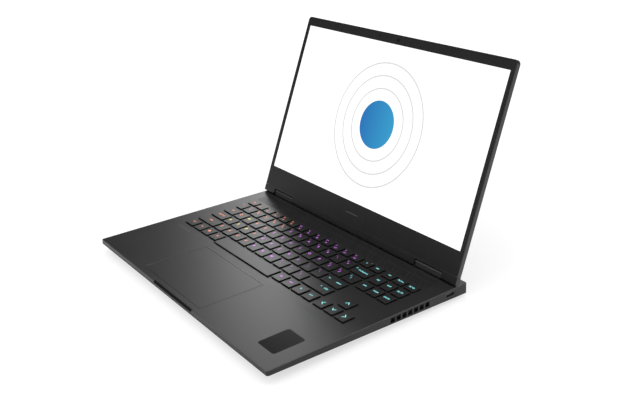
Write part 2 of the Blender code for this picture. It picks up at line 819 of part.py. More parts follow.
def make_base_hinge(base, side):
    """The knuckle that stands in the lid's cut-out, and the bracket that holds it under the deck."""
    axis_level = deck_height + hinge_height
    x = mirrored(side, knuckle_inner, knuckle_outer)
    half = knuckle_thickness / 2
    low = (x[0], hinge_place - half, deck_height + gap)
    name = side_name("hinge_knuckle", side)
    high = (x[1], hinge_place + half, axis_level + knuckle_rise)
    knuckle = box_piece(name, low, high, base, (0.05, 0.05, 0.05), 0.35)
    round_edges(knuckle, knuckle_edge_round, 1)
    foot = mirrored(side, knuckle_inner + knuckle_foot_inset, knuckle_outer - knuckle_foot_inset)
    foot_half = knuckle_foot_half()
    foot_low = (foot[0], hinge_place - foot_half, deck_height - deck_skin - gap)
    foot_high = (foot[1], hinge_place + foot_half, deck_height + overshoot)
    add(knuckle, boxes_mesh("foot", [(foot_low, foot_high)]))
    start = (side * (knuckle_outer + overshoot), hinge_place, axis_level)
    mouth = circle_along_x(start, pin_radius + gap, 16)
    cut(knuckle, prism_mesh("pin_bore", mouth, (-side * (pin_length + 2 * overshoot), 0, 0)))
    top = deck_height - deck_skin - 2 * gap
    low = (x[0], hinge_place - bracket_reach, top - bracket_thickness)
    high = (x[1], hinge_place + half + bracket_margin, top)
    box_piece(side_name("hinge_bracket", side), low, high, base, (0.5, 0.5, 0.5), 0.3, 1.0)


lid_back = lid_face - lid_thickness
lid_top = screen_bottom + screen_height + top_bezel


def make_lid_hinge(lid, side):
    """The arm inside the lid, in one piece with the pin that turns in the base's knuckle."""
    near = knuckle_outer + knuckle_clearance + arm_clearance
    x = mirrored(side, near, near + arm_width)
    head = ((x[0], -arm_head, -arm_head), (x[1], arm_head, arm_head))
    arm = box_piece(side_name("hinge_arm", side), *head, lid, (0.5, 0.5, 0.5), 0.3, 1.0)
    seat = lid_back + lid_skin + gap
    plate = ((x[0], 0, seat), (x[1], arm_length, seat + arm_thickness))
    add(arm, boxes_mesh("plate", [plate]))
    start = (side * (near + arm_width / 2), 0, 0)
    reach = near + arm_width / 2 - knuckle_outer + pin_length
    add(arm, prism_mesh("pin", circle_along_x(start, pin_radius, 16), (-side * reach, 0, 0)))


def arc(middle_y, middle_z, radius, start):
    """A quarter circle in the lid's side view, at the left end of the hinge strip."""
    turns = [math.radians(start + 90 * step / round_steps) for step in range(round_steps + 1)]
    places = [(middle_y + radius * math.cos(turn), middle_z + radius * math.sin(turn)) for turn in turns]
    return [(-width / 2, y, z) for y, z in places]


def make_hinge_strip(lid):
    """The lid's lower edge: a bar with round lower corners, cut out for the knuckles and the arms."""
    front = arc(-lid_overhang + strip_front_round, lid_face - strip_front_round, strip_front_round, 90)
    back = arc(-lid_overhang + strip_back_round, lid_back + strip_back_round, strip_back_round, 180)
    top = [(-width / 2, hinge_strip_top, lid_back), (-width / 2, hinge_strip_top, lid_face)]
    mesh = prism_mesh("lid_hinge_strip", front + back + top, (width, 0, 0))
    strip = make_object("lid_hinge_strip", mesh, lid, (0.04, 0.04, 0.042), 0.4)
    cuts = []
    for side in (-1, 1):
        x = mirrored(side, knuckle_inner - knuckle_clearance, knuckle_outer + knuckle_clearance)
        edge = math.hypot(knuckle_thickness / 2, knuckle_rise) + gap
        low = (x[0], -lid_overhang - overshoot, lid_back - overshoot)
        cuts.append((low, (x[1], edge, lid_face + overshoot)))
        near = knuckle_outer + knuckle_clearance + arm_clearance
        x = mirrored(side, near - gap, near + arm_width + gap)
        room = arm_head + gap
        cuts.append(((x[0], -room, -room), (x[1], hinge_strip_top + overshoot, room)))
    cut(strip, boxes_mesh("knuckle_and_arm_room", cuts))
    for side in (-1, 1):
        mouth = circle_along_x((side * knuckle_outer, 0, 0), pin_radius + gap, 16)
        name = side_name("pin_hole", side)
        cut(strip, prism_mesh(name, mouth, (side * (knuckle_clearance + arm_clearance + overshoot), 0, 0)))


def make_lid_cover(lid):
    low_edge = hinge_strip_top + gap
    outline = rounded_rectangle(-width / 2, width / 2, low_edge, lid_top, lid_corner, lid_back)
    square = [(x, max(y, low_edge), z) for x, y, z in outline]
    foot = [(x, y, z) for x, y, z in square if y > low_edge + lid_corner + gap]
    points = [(width / 2, low_edge, lid_back)] + foot + [(-width / 2, low_edge, lid_back)]
    mesh = prism_mesh("lid_cover", points, (0, 0, lid_thickness))
    cover = make_object("lid_cover", mesh, lid, (0.05, 0.05, 0.055), 0.4, 0.6)
    round_edges(cover, lid_edge_round)
    inner = rounded_rectangle(
        -width / 2 + lid_rim, width / 2 - lid_rim, low_edge - 8 * mm, lid_top - lid_rim, lid_corner - lid_rim
    )
    hollow = [(x, y, lid_back + lid_skin) for x, y, z in inner]
    cut(cover, prism_mesh("inside", hollow, (0, 0, lid_thickness)))


def make_screen(lid):
    inner = lid_rim + gap
    low_edge = hinge_strip_top + gap
    half = width / 2 - inner
    back = lid_face - bezel_thickness
    outline = rounded_rectangle(-half, half, low_edge, lid_top - inner, lid_corner - inner, back)
    mesh = prism_mesh("screen_bezel", outline, (0, 0, bezel_thickness))
    bezel = make_object("screen_bezel", mesh, lid, (0.02, 0.02, 0.021), 0.45)
    window_low = (-screen_width / 2, screen_bottom, 0)
    window_high = (screen_width / 2, screen_bottom + screen_height, lid_face + overshoot)
    cut(bezel, boxes_mesh("window", [(window_low, window_high)]))
    camera_level = screen_bottom + screen_height + top_bezel / 2
    hole = circle_along_z((0, camera_level, lid_face + overshoot), camera_radius + gap, 16)
    cut(bezel, prism_mesh("camera_hole", hole, (0, 0, -bezel_thickness - 2 * mm)))

    panel_top = lid_face - bezel_thickness - gap
    low = (-screen_width / 2 - panel_border, screen_bottom - panel_foot, panel_top - panel_thickness)
    high = (screen_width / 2 + panel_border, screen_bottom + screen_height + panel_border, panel_top)
    box_piece("screen_panel", low, high, lid, (0.8, 0.8, 0.8), 0.3)

    half = camera_board_height / 2
    board_rear = lid_top - lid_rim - gap
    low = (-camera_board_width / 2, board_rear - 2 * half, panel_top - panel_thickness)
    high = (camera_board_width / 2, board_rear, panel_top)
    camera = box_piece("webcam_module", low, high, lid, (0.02, 0.05, 0.03))
    lens = circle_along_z((0, camera_level, panel_top - overshoot), camera_radius, 16)
    add(camera, prism_mesh("lens", lens, (0, 0, overshoot + gap + bezel_thickness / 2)))


def main():
    clear_scene()
    base = bpy.data.objects.new("base_frame", None)
    base.location = (0, -rear_foot_place, 0)
    lid = bpy.data.objects.new("lid_frame", None)
    lid.parent = base
    lid.location = (0, hinge_place, deck_height + hinge_height)
    lid.rotation_euler = (math.radians(180 - lid_opening), 0, 0)
    for empty in (base, lid):
        bpy.context.scene.collection.objects.link(empty)

    make_deck(base)
    make_bottom(base)
    make_feet(base)
    make_touchpad(base)
    make_keyboard_plate(base)
    make_keys(base)
    make_cooling(base)
    make_inside(base)
    make_sockets(base)
    for side in (-1, 1):
        make_base_hinge(base, side)
        make_lid_hinge(lid, side)
    make_hinge_strip(lid)
    make_lid_cover(lid)
    make_screen(lid)


main()
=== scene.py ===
# Laptop computer: the looks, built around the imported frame.
# Lengths are in metres, worked out from the frame's nodes; mm turns a size into metres.
import json
import math

import bmesh
import bpy
from mathutils import Matrix, Vector


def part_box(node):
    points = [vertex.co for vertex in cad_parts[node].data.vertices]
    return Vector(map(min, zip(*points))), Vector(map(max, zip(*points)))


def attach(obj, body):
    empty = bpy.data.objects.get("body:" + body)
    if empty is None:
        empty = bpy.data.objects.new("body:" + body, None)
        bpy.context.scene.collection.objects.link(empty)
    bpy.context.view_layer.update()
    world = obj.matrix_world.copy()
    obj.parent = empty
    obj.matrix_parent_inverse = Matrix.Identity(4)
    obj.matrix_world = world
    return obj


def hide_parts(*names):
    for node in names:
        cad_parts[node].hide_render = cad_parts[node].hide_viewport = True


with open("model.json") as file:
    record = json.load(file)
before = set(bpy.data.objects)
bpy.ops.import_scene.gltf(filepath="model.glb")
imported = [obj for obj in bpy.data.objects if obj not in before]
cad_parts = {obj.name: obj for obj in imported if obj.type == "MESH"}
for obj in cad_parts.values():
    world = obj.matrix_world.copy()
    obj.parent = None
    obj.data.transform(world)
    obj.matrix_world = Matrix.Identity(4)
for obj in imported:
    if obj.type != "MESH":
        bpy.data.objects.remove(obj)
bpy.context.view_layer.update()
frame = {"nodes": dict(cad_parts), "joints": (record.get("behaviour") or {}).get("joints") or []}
mm = 0.001
# two heights closer than this are taken as the same
tolerance = 0.01 * mm

deckLow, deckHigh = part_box("deck_shell")
deckTop = deckHigh.z
frontEdge = deckLow.y
hinge = next(joint for joint in frame["joints"] if joint["name"] == "lid_hinge")
# the lid's own frame: x along the hinge, y from the axis to the free edge, z towards the user
lidTurn = math.radians(180 - hinge["range_deg"][1])
lidFrame = Matrix.Translation(hinge["pos_m"]) @ Matrix.Rotation(lidTurn, 4, "X")
lidFlat = lidFrame.inverted()


def lidBox(node):
    # lowest and highest corner of a node in the lid's own frame
    corners = [lidFlat @ vertex.co for vertex in frame["nodes"][node].data.vertices]
    low = Vector([min(corner[axis] for corner in corners) for axis in range(3)])
    high = Vector([max(corner[axis] for corner in corners) for axis in range(3)])
    return low, high


bezelLow, bezelHigh = lidBox("screen_bezel")
panelLow, panelHigh = lidBox("screen_panel")


class Wire:
    # a socket: sums and products on it add Math nodes
    def __init__(self, shader, socket):
        self.shader = shader
        self.socket = socket

    def math(self, operation, first, second):
        return self.shader.node("ShaderNodeMath", {"operation": operation}, {0: first, 1: second})

    def __add__(self, other):
        return self.math("ADD", self, other)

    def __radd__(self, other):
        return self.math("ADD", other, self)

    def __sub__(self, other):
        return self.math("SUBTRACT", self, other)

    def __rsub__(self, other):
        return self.math("SUBTRACT", other, self)

    def __mul__(self, other):
        return self.math("MULTIPLY", self, other)

    def __rmul__(self, other):
        return self.math("MULTIPLY", other, self)


class Finish:
    # a material with its Principled shader
    def __init__(self, name, values):
        self.material = bpy.data.materials.new(name)
        self.material.use_nodes = True
        self.tree = self.material.node_tree
        self.surface = self.tree.nodes["Principled BSDF"]
        for socket, value in values.items():
            self.set(socket, value)

    def set(self, socket, value):
        self.join(self.surface.inputs[socket], value)

    def join(self, socket, value):
        if isinstance(value, Wire):
            self.tree.links.new(value.socket, socket)
        elif socket.type == "RGBA" and len(value) == 3:
            socket.default_value = (*value, 1)
        else:
            socket.default_value = value

    def node(self, kind, settings, sockets, out=0):
        made = self.tree.nodes.new(kind)
        for name, value in settings.items():
            if name == "stops":
                self.setStops(made.color_ramp, value)
            else:
                setattr(made, name, value)
        for name, value in sockets.items():
            self.join(made.inputs[name], value)
        return Wire(self, made.outputs[out])

    def setStops(self, ramp, stops):
        while len(ramp.elements) < len(stops):
            ramp.elements.new(1)
        for element, (place, colour) in zip(ramp.elements, stops):
            element.position = place
            element.color = (*colour, 1)

    def point(self):
        return self.node("ShaderNodeTexCoord", {}, {}, "Object")

    def noise(self, size, detail=2, stretch=(1, 1, 1)):
        # size is the width of a speck, in metres
        placed = self.node("ShaderNodeMapping", {}, {"Vector": self.point(), "Scale": stretch})
        return self.node("ShaderNodeTexNoise", {}, {"Vector": placed, "Scale": 1 / size, "Detail": detail})

    def bump(self, height, depth):
        return self.node("ShaderNodeBump", {}, {"Strength": 1, "Distance": depth, "Height": height})

    def mix(self, factor, first, second):
        mixed = self.tree.nodes.new("ShaderNodeMix")
        mixed.data_type = "RGBA"
        self.join(mixed.inputs[0], factor)
        self.join(mixed.inputs[6], first)
        self.join(mixed.inputs[7], second)
        return Wire(self, mixed.outputs[2])


# width of the faint patches in a finish's colour, and how much the colour varies in them
patches = dict(width=28 * mm, depth=0.12)


def grained(colour, roughness, spread, speck, depth, gloss=0.5):
    look = dict(colour=colour, roughness=roughness, spread=spread, gloss=gloss)
    return dict(look, speck=speck * mm, depth=depth * mm)


# each finish: colour, roughness and how far it varies, width and depth of its grain in mm, gloss
finishes = {
    "shellPaint": grained((0.026, 0.026, 0.0268), 0.35, 0.05, 0.35, 0.0015),
    "lidPaint": grained((0.028, 0.028, 0.03), 0.36, 0.06, 0.35, 0.006),
    "bottomPlastic": grained((0.014, 0.014, 0.015), 0.55, 0.1, 0.6, 0.02),
    "bezelPlastic": grained((0.016, 0.016, 0.0165), 0.42, 0.08, 0.4, 0.012),
    "keyPlastic": grained((0.026, 0.026, 0.0268), 0.35, 0.05, 0.3, 0.0015),
    "grillePlastic": grained((0.022, 0.022, 0.023), 0.4, 0.05, 0.35, 0.002),
    "grilleRib": grained((0.05, 0.05, 0.052), 0.35, 0.05, 0.35, 0.002),
    # lighter paint on the knuckles' front slope: a painted highlight
    "knuckleHighlight": grained((0.12, 0.12, 0.122), 0.4, 0.05, 0.35, 0.002),
    # a darker, less glossy copy of the deck paint for its walls: painted shade
    "wallShade": grained((0.015, 0.015, 0.0155), 0.42, 0.05, 0.35, 0.001, 0.3),
    # light strips beside the touchpad: a painted highlight
    "padEdgeHighlight": grained((0.18, 0.18, 0.183), 0.35, 0.05, 0.35, 0.001),
    # lighter paint on the deck's rounded top edges: a painted highlight
    "edgeHighlight": grained((0.075, 0.075, 0.077), 0.35, 0.05, 0.35, 0.002),
    "portMetal": grained((0.05, 0.05, 0.05), 0.45, 0.1, 0.3, 0.004),
    # near-black: painted shade on the key caps' sides, the hinge seam and the microphone holes; plain
    # black on the camera's ring
    "blackAndShade": grained((0.004, 0.004, 0.004), 0.7, 0.1, 0.4, 0.004),
    "touchpadGlass": grained((0.026, 0.026, 0.0268), 0.35, 0.04, 0.3, 0.0012),
    "knucklePlastic": grained((0.035, 0.035, 0.036), 0.38, 0.06, 0.4, 0.008),
    "footRubber": grained((0.008, 0.008, 0.008), 0.8, 0.12, 0.5, 0.03),
    # near-black plastic of the inner parts; also painted shade on the finger notch, the screw slots and
    # the vent screens
    "innerPlasticAndShade": grained((0.006, 0.006, 0.006), 0.6, 0.1, 0.6, 0.01),
    "boardLacquer": grained((0.01, 0.045, 0.028), 0.35, 0.1, 1.2, 0.02),
    "packWrap": grained((0.012, 0.012, 0.013), 0.5, 0.1, 1, 0.02),
}


def mouldedFinish(name):
    look = finishes[name]
    finish = Finish(name, {"Specular IOR Level": look["gloss"]})
    grain = finish.noise(look["speck"], 3)
    patch = finish.noise(patches["width"], 3)
    dark = [channel * (1 - patches["depth"]) for channel in look["colour"]]
    light = [channel * (1 + patches["depth"]) for channel in look["colour"]]
    finish.set("Base Color", finish.mix(patch, dark, light))
    lowest = look["roughness"] - look["spread"] / 2
    finish.set("Roughness", lowest + look["spread"] * (0.6 * patch + 0.4 * grain))
    finish.set("Normal", finish.bump(grain, look["depth"]))
    return finish.material


def brushedSteel():
    finish = Finish("brushedSteel", {"Metallic": 1.0})
    lines = finish.noise(0.3 * mm, 2, (1, 0.04, 1))
    finish.set("Base Color", finish.mix(lines, (0.3, 0.3, 0.31), (0.46, 0.46, 0.47)))
    finish.set("Roughness", 0.28 + 0.16 * lines)
    finish.set("Normal", finish.bump(lines, 0.004 * mm))
    return finish.material


def coolingCopper():
    finish = Finish("coolingCopper", {"Metallic": 1.0})
    tarnish = finish.noise(6 * mm, 4)
    finish.set("Base Color", finish.mix(tarnish, (0.32, 0.13, 0.07), (0.6, 0.3, 0.18)))
    finish.set("Roughness", 0.25 + 0.25 * tarnish)
    finish.set("Normal", finish.bump(tarnish, 0.01 * mm))
    return finish.material


def glowFinish(name, colour, strength, paint, gloss):
    # a lit mark: its own light, with a slight unevenness from the light guide under it
    finish = Finish(name, {"Roughness": 0.5, "Specular IOR Level": gloss, "Emission Strength": strength})
    uneven = finish.noise(3 * mm, 1)
    dim = [channel * 0.8 for channel in colour]
    finish.set("Emission Color", finish.mix(uneven, dim, colour))
    finish.set("Base Color", [channel * paint for channel in colour])
    return finish.material


def newPiece(name, bm, body, materials, replaces=(), smooth=20):
    mesh = bpy.data.meshes.new(name)
    bm.to_mesh(mesh)
    bm.free()
    for material in materials:
        mesh.materials.append(material)
    mesh.shade_smooth()
    mesh.set_sharp_from_angle(angle=math.radians(smooth))
    piece = bpy.data.objects.new(name, mesh)
    bpy.context.scene.collection.objects.link(piece)
    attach(piece, body)
    if replaces:
        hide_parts(*replaces)
    return piece


def keepFromMirrors(piece):
    # the picture on the screen neither lights the deck nor shows in it
    piece.visible_glossy = False
    piece.visible_diffuse = False


def tidyCopy(node):
    # a CAD node's mesh with its loose triangles joined into flat faces
    bm = bmesh.new()
    bm.from_mesh(frame["nodes"][node].data)
    bmesh.ops.remove_doubles(bm, verts=bm.verts, dist=0.002 * mm)
    bmesh.ops.dissolve_limit(bm, angle_limit=math.radians(0.5), verts=bm.verts, edges=bm.edges)
    return bm


def addBox(bm, low, high, material=0):
    low, high = Vector(low), Vector(high)
    made = bmesh.ops.create_cube(bm, size=1)
    bmesh.ops.scale(bm, vec=high - low, verts=made["verts"])
    bmesh.ops.translate(bm, vec=(low + high) / 2, verts=made["verts"])
    for face in {face for vertex in made["verts"] for face in vertex.link_faces}:
        face.material_index = material
    return made["verts"]


def bevelEdges(bm, edges, size, segments=2):
    bmesh.ops.bevel(
        bm, geom=list(edges), offset=size, affect="EDGES", segments=segments,
        profile=0.5, material=-1, clamp_overlap=True,
    )


def sharpEdges(bm, angle=50):
    limit = math.radians(angle)
    return [edge for edge in bm.edges if len(edge.link_faces) == 2 and edge.calc_face_angle(0) > limit]


def uprightEdges(edges, least=mm):
    return [edge for edge in edges if abs(edge.verts[0].co.z - edge.verts[1].co.z) > least]


def addDisc(bm, middle, radius, height, sides=48, material=0):
    # a flat-topped button standing on middle, along z
    x, y, z = middle
    made = bmesh.ops.create_cone(
        bm, cap_ends=True, segments=sides, radius1=radius, radius2=radius, depth=height,
        matrix=Matrix.Translation((x, y, z + height / 2)),
    )
    for face in {face for vertex in made["verts"] for face in vertex.link_faces}:
        face.material_index = material
    return made["verts"]


def flatPlace(middle, height):
    return Matrix.Translation((middle[0], middle[1], height))


def addCircle(bm, middle, radius, height, sides):
    place = flatPlace(middle, height)
    bmesh.ops.create_circle(bm, cap_ends=True, segments=sides, radius=radius, matrix=place)
    faceUp(bm)


def addRing(bm, middle, radius, thick, height, sides=96):
    place = flatPlace(middle, height)
    fresh = set()
    for reach in (radius, radius - thick):
        fresh.update(bmesh.ops.create_circle(bm, segments=sides, radius=reach, matrix=place)["verts"])
    bmesh.ops.bridge_loops(bm, edges=[edge for edge in bm.edges if edge.verts[0] in fresh])
    faceUp(bm)


def addBar(bm, corner, angle, back, reach, thick, height):
    # a flat bar from its corner outwards; it starts a little behind the corner
    place = flatPlace(corner, height) @ Matrix.Rotation(angle, 4, "Z")
    middle = Matrix.Translation(((reach - back) / 2, 0, 0))
    size = Matrix.Diagonal((reach + back, thick, 1, 1))
    bmesh.ops.create_grid(bm, x_segments=1, y_segments=1, size=0.5, matrix=place @ middle @ size)
    faceUp(bm)


def faceUp(bm):
    # flat shapes made so far look along z
    for face in bm.faces:
        face.normal_update()
        if face.normal.z < 0:
            face.normal_flip()


# the base's casing: which faces of it get their own finish, and how round its loose parts are
casing = dict(
    notchReach=50 * mm, edgeBand=0.6 * mm, rimWidth=1 * mm, touchpadRound=0.25 * mm, footRound=3.2 * mm,
)
# how far up a face looks when it is a wall, a rounded edge, or the slope of the finger notch
wallTilt, edgeTilt, slopeTilt = 0.15, 0.98, (0.5, 0.9)


def makeDeck(materials):
    bm = tidyCopy("deck_shell")
    reach, rimWidth = casing["notchReach"], casing["rimWidth"]
    for face in bm.faces:
        middle, tilt = face.calc_center_median(), face.normal.z
        slanted = slopeTilt[0] < tilt < slopeTilt[1] and face.normal.y < -0.5
        atSide = abs(middle.x) > deckHigh.x - rimWidth
        rim = atSide or not deckLow.y + rimWidth < middle.y < deckHigh.y - rimWidth
        nearTop = middle.z > deckTop - casing["edgeBand"]
        # the slope of the finger notch is painted near-black: painted shade
        if slanted and abs(middle.x) < reach and face.calc_area() > reach * mm:
            face.material_index = 1
        # the rounded top edges of the rim are painted lighter: a painted highlight
        if rim and nearTop and wallTilt < tilt < edgeTilt and not slanted:
            face.material_index = 2
        # the rim's walls get the darker copy of the deck paint: painted shade
        elif rim and abs(tilt) < wallTilt and face.material_index == 0:
            face.material_index = 3
    finish = [materials[name] for name in ("shellPaint", "innerPlasticAndShade", "edgeHighlight", "wallShade")]
    newPiece("deck", bm, "base", finish, ["deck_shell"])


def makeBottom(materials):
    plastic = [materials["bottomPlastic"]]
    newPiece("bottomCover", tidyCopy("bottom_cover"), "base", plastic, ["bottom_cover"])
    for node, name in (("front_foot", "frontFoot"), ("rear_foot", "rearFoot")):
        bm = tidyCopy(node)
        bevelEdges(bm, uprightEdges(sharpEdges(bm)), casing["footRound"], 5)
        newPiece(name, bm, "base", [materials["footRubber"]], [node])


screws = dict(
    columns=(-162 * mm, -54 * mm, 54 * mm, 162 * mm), rows=(22 * mm, 118 * mm, 243 * mm),
    radius=2.6 * mm, height=0.5 * mm, sunk=0.2 * mm, edge=0.2 * mm,
    slotLength=2.8 * mm, slotWidth=0.6 * mm, slotHeight=0.05 * mm, slotLift=0.03 * mm,
)


def makeScrews(materials):
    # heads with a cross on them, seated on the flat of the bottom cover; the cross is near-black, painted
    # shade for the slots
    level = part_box("bottom_cover")[0].z - screws["height"]
    reach, half = screws["slotLength"] / 2, screws["slotWidth"] / 2
    bm = bmesh.new()
    for row in screws["rows"]:
        for x in screws["columns"]:
            y = frontEdge + row
            made = addDisc(bm, (x, y, level), screws["radius"], screws["height"] + screws["sunk"], 24)
            base = {v for v in made if v.co.z < level + screws["height"] / 2}
            edges = [edge for edge in bm.edges if base.issuperset(edge.verts)]
            bevelEdges(bm, edges, screws["edge"])
            for turn in (0, 90):
                arm = addBox(bm, (-reach, -half, 0), (reach, half, screws["slotHeight"]), 1)
                turned = Matrix.Rotation(math.radians(turn), 4, "Z")
                place = Matrix.Translation((x, y, level - screws["slotLift"])) @ turned
                bmesh.ops.transform(bm, matrix=place, verts=arm)
    newPiece("bottomScrews", bm, "base", [materials["steel"], materials["innerPlasticAndShade"]])


def makeTouchpad(materials):
    bm = tidyCopy("touchpad_plate")
    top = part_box("touchpad_plate")[1].z
    rim = [edge for edge in sharpEdges(bm) if all(abs(v.co.z - top) < tolerance for v in edge.verts)]
    bevelEdges(bm, rim, casing["touchpadRound"])
    newPiece("touchpad", bm, "touchpad", [materials["touchpadGlass"]], ["touchpad_plate"])


# the strip behind the keyboard: a dark insert with slanted ribs in pairs and a fold line
grille = dict(
    width=330 * mm, front=216 * mm, depth=21 * mm, recess=0.5 * mm, margin=0.2 * mm, lift=0.02 * mm,
    plate=0.4 * mm, pitch=22 * mm, pairGap=0.32, rib=0.4 * mm, rise=0.46 * mm, lean=11 * mm,
    foldShift=1.5 * mm,
)


def makeGrille(materials):
    right = grille["width"] / 2 - grille["margin"]
    left = -right
    front = frontEdge + grille["front"] + grille["margin"]
    rear = front + grille["depth"] - 2 * grille["margin"]
    floor = deckTop - grille["recess"]
    top = floor + grille["rise"]
    bm = bmesh.new()
    addBox(bm, (left, front, floor + grille["lift"]), (right, rear, floor + grille["plate"]))
    lean = Matrix.Identity(4)
    lean[0][1] = -grille["lean"] / (rear - front)
    for index in range(-1, int(grille["width"] / grille["pitch"]) + 1):
        for shift in (0, grille["pairGap"]):
            start = left + (index + shift) * grille["pitch"] + grille["lean"]
            rib = addBox(bm, (0, front, floor), (grille["rib"], rear, top), 1)
            place = Matrix.Translation((start, front, 0)) @ lean @ Matrix.Translation((0, -front, 0))
            bmesh.ops.transform(bm, matrix=place, verts=rib)
    fold = (front + rear) / 2 + grille["foldShift"]
    addBox(bm, (left, fold, floor), (right, fold + grille["rib"], top), 1)
    for edge, outward in ((left, -1), (right, 1)):
        geometry = bm.verts[:] + bm.edges[:] + bm.faces[:]
        cut = bmesh.ops.bisect_plane(
            bm, geom=geometry, plane_co=(edge, 0, 0), plane_no=(outward, 0, 0), clear_outer=True
        )
        rim = [item for item in cut["geom_cut"] if isinstance(item, bmesh.types.BMEdge)]
        bmesh.ops.edgenet_fill(bm, edges=rim)
    bmesh.ops.recalc_face_normals(bm, faces=bm.faces)
    plastics = [materials["grillePlastic"], materials["grilleRib"]]
    newPiece("speakerGrille", bm, "base", plastics)


# every key on the board: gaps between caps, and the shape of a cap
keys = dict(
    web=2 * mm, gap=0.42 * mm, pitch=18.75 * mm, shallow=12.16 * mm, taper=0.35 * mm, corner=1.1 * mm,
    rim=0.3 * mm, legendLift=0.02 * mm, bold=0.02,
)
# legend size and its place from the cap's middle, as (right, back)
legendStyles = {
    "letter": (5.2 * mm, -3.6 * mm, 1.2 * mm),
    "word": (3.7 * mm, -0.5 * mm, 1.0 * mm),
    "backWord": (3.7 * mm, 1.6 * mm, 0.6 * mm),
    "backSign": (4.2 * mm, -10.2 * mm, 1.8 * mm),
    "enterWord": (3.7 * mm, 7 * mm, 1.2 * mm),
    "enterSign": (4.2 * mm, -9.6 * mm, 1.8 * mm),
    "shiftWord": (3.7 * mm, 12 * mm, 2.0 * mm),
    "shiftSign": (4.2 * mm, 3.6 * mm, 1.8 * mm),
    "digit": (4.6 * mm, -1.8 * mm, 0.6 * mm),
    "shifted": (3.6 * mm, -5.2 * mm, 4.4 * mm),
    "function": (3.2 * mm, -1.6 * mm, -2.2 * mm),
    "icon": (2.9 * mm, -5.4 * mm, 3.2 * mm),
    "arrow": (5.5 * mm, 0, 0.5 * mm),
    "mark": (3.6 * mm, -1 * mm, 0.8 * mm),
}


# a key: its legend, width, legend style, upper sign and light; width 0 shares the node's box out evenly
def oneKey(legend, width=None, style="letter", upper="", colour="red"):
    return dict(legend=legend, width=width, style=style, upper=upper, colour=colour)


def wordKey(word, width=None, colour="red"):
    return oneKey(word, width, "word", "", colour)


def cyanKey(legend, style="word", upper=""):
    return [oneKey(legend, 0, style, upper, "cyan")]


pairedSigns = dict(zip(";',./[]", ':"<>?{}'))
shiftedDigits = dict(zip("1234567890-=", "!@#$%^&*()_+"))
functionIcons = ("?", "*-", "*+", "[-]", "[+]", "[=]", "<)", "<)-", "<)+", "|<", "||", ">|")
yellowLetters = "WASD"
redLetters, redDigits = 4, 5


def letterRow(text):
    row = []
    for index, letter in enumerate(text):
        colour = "yellow" if letter in yellowLetters else "red" if index < redLetters else "violet"
        upper = pairedSigns.get(letter, "")
        row.append(oneKey(letter, None, "digit" if upper else "letter", upper, colour))
    return row


def keyGroups():
    digits = [oneKey("`", 15.8 * mm, "digit", "~")]
    for index, (digit, sign) in enumerate(shiftedDigits.items()):
        digits.append(oneKey(digit, None, "digit", sign, "red" if index < redDigits else "violet"))
    functions = [wordKey("esc", 0)]
    for index, icon in enumerate(functionIcons):
        colour = "red" if index < redDigits else "violet"
        functions.append(oneKey(f"f{index + 1}", 0, "function", icon, colour))
    lastUpper = oneKey("\\", 21 * mm, "digit", "|", "cyan")
    pad = (("ins", "home", "pg up"), ("del", "end", "pg dn"), ("calc", "mute", "pause"))
    return {
        "function_keys": functions,
        "power_key": cyanKey("o"),
        "delete_key": cyanKey("del"),
        "number_keys": digits,
        "backspace_key": cyanKey("backspace", "backWord", "<-"),
        "upper_letter_keys": [wordKey("tab", 25 * mm), *letterRow("QWERTYUIOP[]"), lastUpper],
        "home_letter_keys": [wordKey("caps lock", 29.5 * mm), *letterRow("ASDFGHJKL;'")],
        "enter_key": cyanKey("enter", "enterWord", "<-"),
        "left_shift_key": [wordKey("shift", 0)],
        "lower_letter_keys": letterRow("ZXCVBNM,./"),
        "right_shift_key": cyanKey("shift", "shiftWord", "^"),
        "left_control_keys": [
            wordKey("ctrl", 20.6 * mm), wordKey("fn"), oneKey("dot", None, "mark"), wordKey("alt"),
        ],
        "space_bar": [wordKey("", 0)],
        "right_control_keys": [
            wordKey("alt", None, "violet"), wordKey("ctrl", None, "violet"),
            wordKey("fn", None, "cyan"), wordKey("prt", 17.9 * mm, "cyan"),
        ],
        "navigation_keys": [[wordKey(word, 0, "cyan") for word in row] for row in pad],
        "up_arrow_key": cyanKey("up", "arrow"),
        "left_arrow_key": cyanKey("left", "arrow"),
        "down_arrow_key": cyanKey("down", "arrow"),
        "right_arrow_key": cyanKey("right", "arrow"),
    }


def keyCells(group, row):
    # the caps of a row of keys: the box of its node shared out by the keys' widths
    low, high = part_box(group)
    margin = keys["web"] / 2 + keys["gap"]
    left, total = low.x - margin, high.x - low.x + 2 * margin
    widths = [total / len(row) if key["width"] == 0 else (key["width"] or keys["pitch"]) for key in row]
    cells = []
    for width in widths:
        cells.append((left + margin, left + width - margin))
        left += width
    return cells


def keycapMesh(left, right, front, rear, low, high):
    bm = bmesh.new()
    verts = addBox(bm, (left, front, low), (right, rear, high))
    top = [v for v in verts if v.co.z > (low + high) / 2]
    centre = Matrix.Translation((-(left + right) / 2, -(front + rear) / 2, 0))
    shrink = [1 - 2 * keys["taper"] / side for side in (right - left, rear - front)]
    bmesh.ops.scale(bm, vec=(*shrink, 1), verts=top, space=centre)
    bevelEdges(bm, uprightEdges(bm.edges), keys["corner"], 3)
    rim = [edge for edge in sharpEdges(bm) if all(v.co.z > high - tolerance for v in edge.verts)]
    bevelEdges(bm, rim, keys["rim"], 2)
    # the cap's sides below the rim get the near-black finish: painted shade
    for face in bm.faces:
        face.material_index = 0 if face.calc_center_median().z > high - keys["rim"] else 1
    mesh = bpy.data.meshes.new("keycap")
    bm.to_mesh(mesh)
    bm.free()
    return mesh


